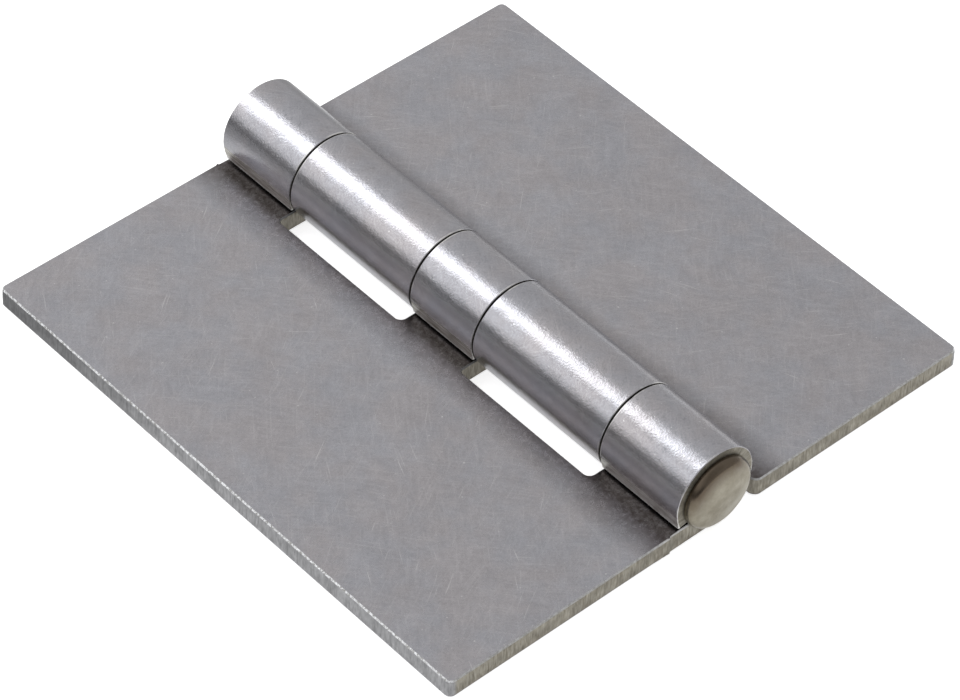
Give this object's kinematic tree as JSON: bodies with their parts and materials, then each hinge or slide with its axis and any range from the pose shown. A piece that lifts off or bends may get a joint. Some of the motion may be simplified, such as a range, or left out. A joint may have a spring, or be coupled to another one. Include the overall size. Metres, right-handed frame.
{
  "type": "weld-on butt hinge",
  "caption": "Plain steel butt hinge with unpunched square leaves, curled interleaved knuckles and a headed pin, for welding to a door, gate or frame.",
  "frame": {"origin": "centre of the whole hinge's footprint, head included, on the plane that the undersides of both open leaves lie on; the pin's axis is straight above x = 0", "axes": "+Y along the pin towards its plain end, +X towards the leaf with two knuckles, +Z from the leaves' undersides up through the barrel"},
  "size_m": [0.1016, 0.1036, 0.015],
  "materials": {
    "leaf_steel": "satin mill finish with fine scratches and sheared edges",
    "pin_steel": "smooth satin"
  },
  "bodies": {
    "fixed_leaf": {"three_knuckle_leaf": "leaf_steel", "hinge_pin": "pin_steel"},
    "swinging_leaf": {"two_knuckle_leaf": "leaf_steel"}
  },
  "joints": [
    {"name": "leaf_swing", "type": "hinge", "parent": "fixed_leaf", "child": "swinging_leaf", "pos_m": [0, 0, 0.00748], "axis": [0, -1, 0], "range_deg": [-92, 188]}
  ]
}
